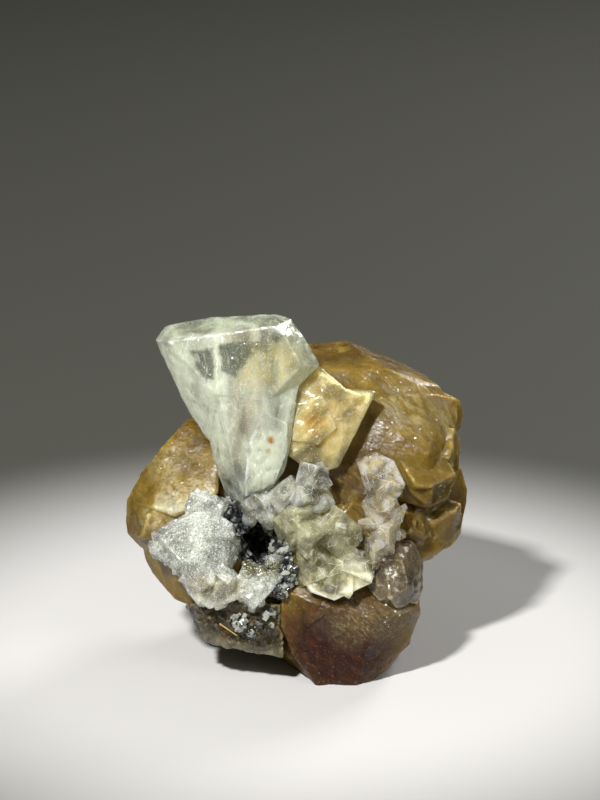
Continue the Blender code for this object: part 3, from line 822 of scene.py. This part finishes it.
class SPECIMEN_OT_clear_crystal(bpy.types.Operator):
    """Makes the clear tapering crystal, with its frosted skin and clear windows"""
    bl_idname = "specimen.clear_crystal"
    bl_label = "Clear crystal"

    OUTLINES = {
        "window": (0.30, [[(221, 345), (271, 343), (258, 352), (243, 368), (236, 378), (224, 371)],
                          [(194, 352), (216, 350), (217, 380), (203, 378)],
                          [(271, 335), (284, 337), (277, 344), (270, 343)]]),
        "frosty": (1.6, [[(217, 344), (221, 344), (221, 388), (216, 386)],
                         [(205, 385), (224, 380), (228, 437), (227, 470), (221, 470), (212, 437)],
                         [(248, 440), (282, 430), (284, 466), (262, 492), (250, 488)],
                         [(168, 352), (186, 350), (200, 400), (206, 416), (198, 410)],
                         [(288, 380), (296, 376), (290, 432), (282, 440)]]),
        "stain": (1.4, [[(250, 345), (285, 340), (301, 356), (299, 381), (272, 390), (240, 381)]]),
        "tan": (1.0, [[(222, 333), (272, 333), (272, 343), (222, 344)],
                      [(232, 380), (262, 377), (260, 420), (246, 440), (243, 466), (232, 466),
                       (230, 420)]]),
        "grey": (1.6, [[(219, 470), (249, 470), (252, 524), (220, 524)]]),
        "rim": (0.5, [[(158, 338), (168, 322), (285, 316), (292, 320), (322, 366), (320, 388),
                       (308, 372), (286, 331), (176, 335), (164, 344)]])}
    SPOTS = {"rust": [((-2.55, 22.4, 7.0), 0.6, 1.0), ((-2.8, 21.4, 6.9), 0.5, 1.0),
                      ((-2.2, 31.7, 7.4), 0.35, 1.0)]}

    def execute(self, context):
        sizes, colours = context.scene.specimen_sizes, context.scene.specimen_colours
        piece = crystal("clear_crystal", sizes.fine_cell, sizes.swell * 0.6,
                        waves=(0.0012, 0.00009), steps=(0.0016, 0.00009), slopes=(0.05, 0.15),
                        degrees=11.0)
        mark(piece, self.SPOTS, self.OUTLINES)
        hand_over(piece, "clear_crystal", "clear_crystal", self.material(colours))
        return {"FINISHED"}

    def material(self, colours):
        """A colourless crystal: glassy inside, its skin frosted by growth steps, with clear
        windows near its top and thin yellow stains in its cracks."""
        return mineral(
            "Frosted clear crystal", colours.ice,
            [("#C6CBB4", None, 1.6, 0.42, 0.70), ("#CCD3BA", "rim", 1.5, 0.0, 0.4),
             ("#E0D6A2", "stain", 0.5, 0.25, 0.6), ("#DED4BA", "tan", 0.6, 0.3, 0.7),
             ("#C4C9B2", "frosty", 0.3, 0.2, 0.5), ("#848A86", "grey", 0.6, 0.3, 0.6),
             # Grey and near-white flecks along the grain are painted shade and painted highlights,
             # for fine contrast
             ("#8C9286", None, 0.35, 0.60, 0.82), ("#FDFFF4", None, 0.22, 0.60, 0.74),
             # The lighter colour on sharp edges is partly wear and partly a painted highlight
             ("#F4F7EA", "worn", 0.4, 0.2, 0.5), ("#A06C0C", "rust", 0.3, 0.2, 0.5)],
            rough=[(0.6, 0.08), (0.2, 0.04)], cells=[(0.22, 0.8), (0.12, 0.4)],
            gloss=(0.04, 0.20), through=(0.50, 0.84), ior=1.57, coat=(0.5, 0.04),
            spread=(1.0, 1.4, (1.0, 1.0, 0.95)), lines=[("#F4F6EA", 1.3, 0.04, 0.35)],
            specks=[("#FFFFFF", 0.13, 0.62, 0.72, 0.35)], window="window", milky="frosty",
            absorb=("#DDEBDD", 14.0), grain=((-LEAN, 0.0, 0.0), 3.5))


class SPECIMEN_OT_yellow_crystal(bpy.types.Operator):
    """Makes the straw-yellow crystal beside the clear one"""
    bl_idname = "specimen.yellow_crystal"
    bl_label = "Yellow crystal"

    # Glow: an amber patch painted as light glowing through the crystal
    SPOTS = {"glow": [((1.3, 24.0, 5.4), 1.5, 1.0), ((-0.4, 23.0, 5.2), 1.2, 0.5)],
             "grey": [((0.9, 20.9, 5.0), 1.8, 0.9)]}
    # The edge outlines are a painted highlight along the top edge and the horn, kept milky
    OUTLINES = {"edge": (0.3, [[(366, 393), (371, 396), (366, 404), (362, 402)],
                               [(318, 372), (322, 374), (352, 391), (366, 395), (352, 394),
                                (318, 375)]])}

    def execute(self, context):
        sizes, colours = context.scene.specimen_sizes, context.scene.specimen_colours
        piece = crystal("yellow_crystal", sizes.fine_cell, sizes.swell,
                        waves=(0.0012, 0.00009), steps=(0.0012, 0.00006), slopes=(0.08, 0.25))
        mark(piece, self.SPOTS, self.OUTLINES)
        hand_over(piece, "yellow_crystal", "yellow_crystal", self.material(colours))
        return {"FINISHED"}

    def material(self, colours):
        """Straw-yellow crystal: translucent, glassy on its growth faces, with a painted amber glow
        inside.
        """
        return mineral(
            "Straw crystal", colours.straw,
            # Glow: an amber patch painted as light glowing through the crystal
            [("#CBB470", None, 0.7, 0.45, 0.66), ("#B8862C", "glow", 0.8, 0.30, 0.60),
             # Edge: a painted highlight along the top edge and the horn, kept milky
             ("#A79B70", "grey", 1.2, 0.1, 0.5), ("#E8DAA4", "edge", 0.6, 0.2, 0.5),
             # The lighter colour on sharp edges is partly wear and partly a painted highlight
             ("#F7EBC0", None, 0.3, 0.60, 0.76), ("#F0E6BC", "worn", 0.4, 0.3, 0.6)],
            rough=[(0.5, 0.10), (0.2, 0.03)], cells=[(0.26, 0.5)],
            gloss=(0.08, 0.30), through=(0.35, 0.8), ior=1.57, coat=(0.12, 0.08),
            spread=(1.0, 3.4, (1.0, 0.9, 0.5)), lines=[("#FBF3D0", 1.1, 0.04, 0.3)],
            specks=[("#FFFBE6", 0.12, 0.64, 0.72, 0.5)], milky="edge",
            absorb=("#EED28A", 50.0), grain=((0.2, 0.6, 0.0), 5.0))


class SPECIMEN_OT_smoky_crystal(bpy.types.Operator):
    """Makes the smoky dome at the right of the foot"""
    bl_idname = "specimen.smoky_crystal"
    bl_label = "Smoky crystal"

    # Spark: a painted glint, white and milky
    SPOTS = {"spark": [((8.3, 10.4, 5.4), 0.8, 1.0), ((8.7, 9.4, 5.4), 0.5, 1.0)]}

    def execute(self, context):
        sizes, colours = context.scene.specimen_sizes, context.scene.specimen_colours
        piece = crystal("smoky_crystal", sizes.fine_cell, sizes.swell,
                        waves=(0.0014, 0.00012), steps=(0.0014, 0.00010), slopes=(0.05, 0.15))
        mark(piece, self.SPOTS)
        hand_over(piece, "smoky_crystal", "smoky_crystal", self.material(colours))
        return {"FINISHED"}

    def material(self, colours):
        """Smoky crystal: brownish glass with a broken skin and a painted white glint in its middle,
        kept milky.
        """
        return mineral(
            "Smoky crystal", colours.smoke,
            [("#5E5038", None, 1.5, 0.40, 0.65), ("#8F8468", None, 0.5, 0.58, 0.76),
             # Spark: a painted white glint, kept milky
             # The lighter colour on sharp edges is partly wear and partly a painted highlight
             ("#A89C80", "worn", 0.4, 0.2, 0.5), ("#F4F2E8", "spark", 0.3, 0.50, 0.62)],
            rough=[(0.6, 0.05), (0.2, 0.016)], cells=[(0.30, 0.5)],
            gloss=(0.12, 0.36), through=(0.15, 0.7), ior=1.55, coat=(0.3, 0.05),
            spread=(0.5, 1.0, (1.0, 0.8, 0.6)), lines=[("#B8AE98", 1.2, 0.04, 0.4)],
            specks=[("#D8D0BC", 0.12, 0.64, 0.72, 0.5)], milky="spark", absorb=("#B39A76", 160.0))


class SPECIMEN_OT_small_crystals(bpy.types.Operator):
    """Makes the pale, grey and white small crystals right of and above the pit"""
    bl_idname = "specimen.small_crystals"
    bl_label = "Small crystals"

    OUTLINES = {
        "rim": (0.4, [[(304, 581), (320, 593), (335, 596), (352, 590), (372, 574), (369, 571),
                       (350, 584), (334, 590), (320, 588), (308, 578)]]),
        "olive": (0.8, [[(280, 546), (300, 548), (306, 566), (290, 570)]])}
    FRONT_T = 3.6               # small crystals grow only on what lies further out than this, mm

    def execute(self, context):
        sizes, colours = context.scene.specimen_sizes, context.scene.specimen_colours
        shapes = gems(8, 5)
        groups = [
            ("pale_crystals_right", 36, (0.0003, 0.0010), "pale_crystal",
             self.material("Pale green crystal", colours.pale, "#F0EDCC", "#EAE6C0", 0.50, 0.85)),
            ("grey_crystals_upper", 26, (0.0004, 0.0010), "pale_crystal",
             self.material("Grey glassy crystal", "#D8D8C6", "#F8F9EE", "#E2E4D0", 0.60, 0.95)),
            ("white_crystal_chain", 34, (0.0003, 0.0008), "white_crystal",
             self.material("White crystal", "#E8DAB2", "#FFFFFF", "#F4ECD4", 0.66, 0.95))]
        # A whiter, milkier copy of the crystals' material for the worn edges: partly wear, partly a
        # painted highlight
        edges = self.material("Worn crystal edge", "#F2EFDC", "#FFFFFF", "#F4F4E8", 0.1, 0.4)
        for number, (node, count, grades, slot, material) in enumerate(groups):
            base = copied(node, "part")
            apply(base, "DISPLACE", strength=sizes.swell * 0.7, mid_level=0.0)
            grown = crusted(base, shapes, count, grades, sink=0.45, seed=40 + number,
                            keep=lambda front: front[:, 2] > self.FRONT_T)
            piece = fused([base] + grown, f"{node}_finished", sizes.edge, (material, edges))
            mark(piece, outlines=self.OUTLINES)
            hand_over(piece, node, slot)
        discard(shapes)
        return {"FINISHED"}

    def material(self, name, colour, bright, inside, least, most):
        """Small glassy crystals: clear to milky, with bright edges and cleavage glints."""
        return mineral(
            name, colour,
            # The white flecks are partly white cracks and partly painted glints
            [(bright, None, 0.7, 0.45, 0.7), ("#FFFFFF", None, 0.25, 0.60, 0.76),
             ("#FFF9D8", "rim", 0.6, 0.0, 0.4), ("#6E6428", "olive", 1.5, 0.0, 0.3)],
            rough=[(0.8, 0.03), (0.25, 0.006)], cells=[(0.24, 0.5)],
            gloss=(0.0, 0.12), through=(least, most), ior=1.55, coat=(0.3, 0.03),
            spread=(1.0, 1.2, (1.0, 0.95, 0.7)), lines=[("#FFFFFF", 1.1, 0.05, 0.5)],
            specks=[("#FFFFFF", 0.15, 0.62, 0.74, 0.35)], milky="rim", absorb=(inside, 30.0))


class SPECIMEN_OT_sparkling_crystals(bpy.types.Operator):
    """Makes the silver-white sparkling rosette left of the pit"""
    bl_idname = "specimen.sparkling_crystals"
    bl_label = "Sparkling crystals"

    SPOTS = {"green": [((-10.0, 14.0, 5.0), 1.0, 0.6)]}
    OUTLINES = {
        "shell": (1.0, [[(188, 570), (245, 575), (240, 606), (200, 606)]]),
        "olive": (0.8, [[(240, 552), (262, 560), (290, 552), (292, 566), (262, 574), (242, 570)]]),
        "rim": (0.4, [[(190, 583), (200, 599), (213, 604), (227, 602), (243, 593), (241, 587),
                       (226, 595), (213, 597), (203, 592), (194, 579)]])}
    FRONT_T = 3.0               # crystals grow only on what lies further out than this, mm
    FINE_V = 10.2               # above here they are fine, mm
    COARSE_V = 10.4             # below here they are coarse, mm

    def execute(self, context):
        sizes, colours = context.scene.specimen_sizes, context.scene.specimen_colours
        shapes = gems(8, 9)
        base = copied("sparkling_crystals_left", "part")
        grown = crusted(base, shapes, count=460, sizes=(0.00018, 0.00046), sink=0.80, seed=51,
                        keep=lambda front: (front[:, 2] > self.FRONT_T)
                        & (front[:, 1] > self.FINE_V))
        grown += crusted(base, shapes, count=60, sizes=(0.0003, 0.0008), sink=0.5, seed=52,
                         keep=lambda front: (front[:, 2] > self.FRONT_T)
                         & (front[:, 1] < self.COARSE_V))
        piece = joined([base] + grown, "sparkling_crystals_finished")
        discard(shapes)
        skin(piece, sizes.small_cell, sizes.swell * 0.7)
        relief(piece, 0.0006, 0.00008)
        crisp(piece)
        mark(piece, self.SPOTS, self.OUTLINES)
        hand_over(piece, "sparkling_crystals_left", "white_crystal", self.material(colours))
        return {"FINISHED"}

    def material(self, colours):
        """A druse of tiny clear crystals: silver white, each face a small mirror."""
        return mineral(
            "Silver white druse", colours.silver,
            [("#C2C8BA", None, 0.5, 0.50, 0.70), ("#C9C3A0", "shell", 1.5, 0.0, 0.4),
             ("#B9CDAA", "green", 0.8, 0.2, 0.5), ("#9AA096", None, 0.16, 0.50, 0.62),
             ("#FFF9D8", "rim", 0.6, 0.0, 0.4), ("#5E5A26", "olive", 1.5, 0.0, 0.3)],
            rough=[(0.4, 0.03)], cells=[(0.18, 1.0), (0.45, 0.3)],
            gloss=(0.0, 0.08), through=(0.35, 0.75), ior=1.55, coat=(1.0, 0.02),
            spread=(1.0, 2.4, (1.0, 1.0, 0.9)), lines=[("#FFFFFF", 0.6, 0.04, 0.4)],
            specks=[("#FFFFFF", 0.15, 0.54, 0.66, 0.5)], absorb=("#E8EEDC", 20.0))


class SPECIMEN_OT_lower_left_block(bpy.types.Operator):
    """Makes the grey-green block at the lower left"""
    bl_idname = "specimen.lower_left_block"
    bl_label = "Lower left block"

    OUTLINES = {"rim": (0.8, [[(196, 634), (204, 628), (240, 642), (285, 646), (290, 660),
                               (240, 656), (204, 640)]])}

    def execute(self, context):
        sizes, colours = context.scene.specimen_sizes, context.scene.specimen_colours
        piece = crystal("lower_left_block", sizes.fine_cell, sizes.swell,
                        waves=(0.0012, 0.00025), steps=(0.0010, 0.00018), slopes=(0.05, 0.15))
        mark(piece, outlines=self.OUTLINES)
        hand_over(piece, "lower_left_block", "grey_green_stone", self.material(colours))
        return {"FINISHED"}

    def material(self, colours):
        """Grey-green translucent stone with a paler broken rim."""
        return mineral(
            "Grey green stone", colours.moss,
            [("#2A220A", None, 2.4, 0.38, 0.60), ("#8F8668", "rim", 0.8, 0.2, 0.6),
             # The lighter colour on sharp edges is partly wear and partly a painted highlight
             ("#7A7048", None, 0.4, 0.60, 0.76), ("#8A8060", "worn", 0.4, 0.2, 0.5)],
            rough=[(0.6, 0.05), (0.2, 0.016)], cells=[(0.3, 0.5)],
            gloss=(0.10, 0.32), through=(0.3, 0.7), ior=1.55, coat=(0.2, 0.1),
            spread=(0.5, 1.0, (1.0, 0.8, 0.4)), level=0.25,
            specks=[("#8F8B70", 0.13, 0.63, 0.75, 0.6)], absorb=("#8A8058", 200.0))


class SPECIMEN_OT_dark_grains(bpy.types.Operator):
    """Makes the black and white grains round the pit"""
    bl_idname = "specimen.dark_grains"
    bl_label = "Dark grains"

    PIT = [((-3.9, 13.1, 0.5), 4.2, 1.0)]
    WHITE = [((-5.4, 5.8, 4.6), 0.75), ((-5.9, 6.3, 4.5), 0.5), ((-2.7, 10.1, 5.4), 0.55),
             ((-1.9, 10.2, 5.4), 0.45), ((-3.4, 10.0, 5.3), 0.35)]
    NEEDLE = ((-7.3, 5.8, 5.0), (-5.7, 4.7, 5.0))
    NEEDLE_WIDE, NEEDLE_TIP = 0.07, 0.03    # the needle's radius at its ends, mm
    PATCH = [(244, 606), (262, 602), (274, 610), (272, 634), (250, 636), (242, 622)]
    PATCH_T = 3.0               # grains lie only on what is further out than this, mm
    BLACK_V = 12.8              # above here nearly all grains are black, mm

    def execute(self, context):
        sizes, grain = context.scene.specimen_sizes, context.scene.specimen_sizes.grain
        shapes = gems(5, 13)
        base = copied("dark_grains", "part")
        skin(base, sizes.fine_cell, 0.0)
        relief(base, 0.0005, 0.0002)
        paint(base, "shade", np.zeros(len(base.data.vertices)))
        draw = random.Random(71)
        grown = crusted(base, shapes, count=900, sizes=(grain * 0.3, grain * 0.9), sink=0.2,
                        seed=72)
        walls = copied("scheelite_mass", "part")
        grown += crusted(walls, shapes, count=400, sizes=(grain * 0.5, grain * 1.5), sink=0.1,
                         seed=74, keep=lambda front: near(self.PIT, front) > 0.5)
        block = copied("lower_left_block", "part")
        grown += crusted(block, shapes, count=260, sizes=(grain * 0.3, grain), sink=0.1, seed=73,
                         keep=lambda front: (inside(self.PATCH, front, 0.3) > 0.5)
                         & (front[:, 2] > self.PATCH_T))
        discard([walls, block])
        for gem in grown:
            steep = 5.0 if front_of(points_of(gem))[0][1] > self.BLACK_V else 2.0
            paint(gem, "shade", np.full(len(gem.data.vertices), draw.random() ** steep))
        for spot, size in self.WHITE:
            for _ in range(20):
                centre = [part + draw.gauss(0.0, 0.36) * size for part in spot]
                gem = set_down(draw.choice(shapes), place(*centre),
                               [draw.uniform(0.18, 0.34) * size * MM] * 3, any_turn(draw))
                paint(gem, "shade", np.full(len(gem.data.vertices), draw.uniform(0.6, 1.0)))
                grown.append(gem)
        piece = joined([base] + grown + [self.needle()], "dark_grains_finished")
        discard(shapes)
        hand_over(piece, "dark_grains", "dark_stone", self.material())
        return {"FINISHED"}

    def needle(self):
        """A thin golden needle that lies across the grains."""
        start, end = [place(*spot) for spot in self.NEEDLE]
        run = end - start
        bpy.ops.object.select_all(action="DESELECT")
        bpy.ops.mesh.primitive_cone_add(vertices=8, radius1=self.NEEDLE_WIDE * MM,
                                        radius2=self.NEEDLE_TIP * MM, depth=run.length)
        piece = bpy.context.object
        turn = run.to_track_quat("Z", "Y")
        piece.data.transform(Matrix.LocRotScale((start + end) / 2, turn, None))
        paint(piece, "gold", np.ones(len(piece.data.vertices)))
        return piece

    def material(self):
        """Black grains of an iron mineral with white quartz grains between them."""
        return mineral(
            "Black and white grains", "#0B0C0E",
            # Grey blotches on the black are painted glints of the grains' metallic lustre
            [("#3C4248", None, 0.3, 0.52, 0.66), ("#A8AA9E", "shade", 3.0, -0.5, 0.0),
             ("#C2A266", "gold", 3.0, -0.5, 0.0)],
            rough=[(0.2, 0.02)], cells=[(0.15, 0.6)],
            gloss=(0.1, 0.4), through=(0.0, 0.3), ior=1.5, coat=(0.4, 0.06))


OPERATORS = (SPECIMEN_OT_stage, SPECIMEN_OT_scheelite, SPECIMEN_OT_clear_crystal,
             SPECIMEN_OT_yellow_crystal, SPECIMEN_OT_smoky_crystal, SPECIMEN_OT_small_crystals,
             SPECIMEN_OT_sparkling_crystals, SPECIMEN_OT_lower_left_block, SPECIMEN_OT_dark_grains)


class SPECIMEN_PT_panel(bpy.types.Panel):
    """Lists the specimen's pieces and their sizes in the sidebar"""
    bl_idname = "SPECIMEN_PT_panel"
    bl_label = "Scheelite specimen"
    bl_space_type = "VIEW_3D"
    bl_region_type = "UI"
    bl_category = "Specimen"

    def draw(self, context):
        for operator in OPERATORS:
            self.layout.operator(operator.bl_idname)
        for group in (context.scene.specimen_sizes, context.scene.specimen_colours,
                      context.scene.specimen_stage):
            box = self.layout.box()
            for name in group.__annotations__:
                box.prop(group, name)


CLASSES = (StageSizes, CrystalSizes, CrystalColours) + OPERATORS + (SPECIMEN_PT_panel,)


def register():
    """Registers the classes and ties their values to the scene."""
    for kind in CLASSES:
        bpy.utils.register_class(kind)
    bpy.types.Scene.specimen_stage = bpy.props.PointerProperty(type=StageSizes)
    bpy.types.Scene.specimen_sizes = bpy.props.PointerProperty(type=CrystalSizes)
    bpy.types.Scene.specimen_colours = bpy.props.PointerProperty(type=CrystalColours)


def unregister():
    """Takes the classes and the values away again."""
    del bpy.types.Scene.specimen_stage
    del bpy.types.Scene.specimen_sizes
    del bpy.types.Scene.specimen_colours
    for kind in reversed(CLASSES):
        bpy.utils.unregister_class(kind)


def main():
    """Builds the stage and every piece in order."""
    register()
    bpy.ops.specimen.stage()
    bpy.ops.specimen.scheelite()
    bpy.ops.specimen.clear_crystal()
    bpy.ops.specimen.yellow_crystal()
    bpy.ops.specimen.smoky_crystal()
    bpy.ops.specimen.small_crystals()
    bpy.ops.specimen.sparkling_crystals()
    bpy.ops.specimen.lower_left_block()
    bpy.ops.specimen.dark_grains()


if __name__ == "__main__":
    main()
